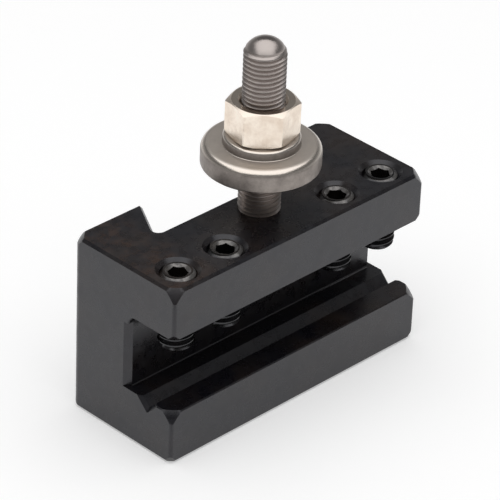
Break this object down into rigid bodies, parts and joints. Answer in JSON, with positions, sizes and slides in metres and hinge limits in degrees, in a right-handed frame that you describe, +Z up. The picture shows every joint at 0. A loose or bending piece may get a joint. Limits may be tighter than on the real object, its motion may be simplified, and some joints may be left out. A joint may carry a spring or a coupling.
{
  "type": "quick change tool holder",
  "caption": "Steel lathe tool holder block with a grooved tool slot, clamp screws above it, a dovetail recess in its back and a stud with height collar and lock nut.",
  "frame": {"origin": "middle of the base of the whole part's box", "axes": "+X along the block, tool slot facing -Y, dovetail recess facing +Y, +Z up along the stud"},
  "size_m": [0.075, 0.031, 0.084],
  "materials": {
    "black_oxide_block": "black oxide, satin",
    "black_oxide_screw": "black oxide, satin",
    "satin_steel": "turned, satin",
    "bright_steel": "machined, bright"
  },
  "bodies": {
    "holder": {"holder_body": "black_oxide_block", "height_stud": "bright_steel"},
    "collar": {"height_collar": "satin_steel"},
    "nut": {"lock_nut": "bright_steel"},
    "screw_1": {"clamp_screw_1": "black_oxide_screw"},
    "screw_2": {"clamp_screw_2": "black_oxide_screw"},
    "screw_3": {"clamp_screw_3": "black_oxide_screw"},
    "screw_4": {"clamp_screw_4": "black_oxide_screw"}
  },
  "joints": [
    {"name": "collar_height", "type": "slide", "parent": "holder", "child": "collar", "axis": [0, 0, 1], "range_m": [-0.0105, 0.0055]},
    {"name": "nut_travel", "type": "slide", "parent": "collar", "child": "nut", "axis": [0, 0, 1], "range_m": [0, 0.006]},
    {"name": "screw_1_travel", "type": "slide", "parent": "holder", "child": "screw_1", "axis": [0, 0, 1], "range_m": [-0.0055, 0.006]},
    {"name": "screw_2_travel", "type": "slide", "parent": "holder", "child": "screw_2", "axis": [0, 0, 1], "range_m": [-0.0055, 0.006]},
    {"name": "screw_3_travel", "type": "slide", "parent": "holder", "child": "screw_3", "axis": [0, 0, 1], "range_m": [-0.0055, 0.006]},
    {"name": "screw_4_travel", "type": "slide", "parent": "holder", "child": "screw_4", "axis": [0, 0, 1], "range_m": [-0.0055, 0.006]}
  ]
}
